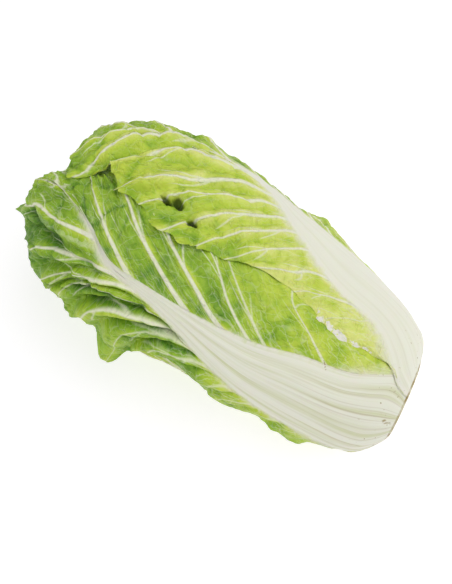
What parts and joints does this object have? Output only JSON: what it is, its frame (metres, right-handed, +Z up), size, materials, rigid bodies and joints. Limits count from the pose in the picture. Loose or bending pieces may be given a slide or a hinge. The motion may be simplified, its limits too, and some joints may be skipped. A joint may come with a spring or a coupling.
{
  "type": "napa cabbage",
  "caption": "Whole napa cabbage lying on its side: long closed head of crinkled green leaves with broad white midribs wrapped round a pale heart, cut flat at the stem.",
  "frame": {"origin": "centre of the flat resting patch on the underside, below the head's weight", "axes": "+Z up; the head lies along X with its cut stem at +X and its leaf tips at -X; the front leaf's midrib faces -Y"},
  "size_m": [0.3017, 0.1753, 0.1453],
  "materials": {
    "stem": "matt, moist cut face, cream with a brown rim",
    "heart": "pale yellow-green, satin",
    "inner_leaf": "satin, crinkled, pale green with cream veins",
    "outer_leaf": "satin, crinkled, green with a white midrib",
    "front_leaf": "satin, crinkled, mid green with a white ribbed midrib",
    "top_leaf": "satin, crinkled, yellow-green with a white midrib"
  },
  "bodies": {
    "root": {"stem": "stem", "heart": "heart", "leaf_inner_top": "inner_leaf", "leaf_inner_back": "inner_leaf", "leaf_inner_front": "inner_leaf", "leaf_under": "outer_leaf", "leaf_front": "front_leaf", "leaf_top": "top_leaf"}
  },
  "joints": []
}
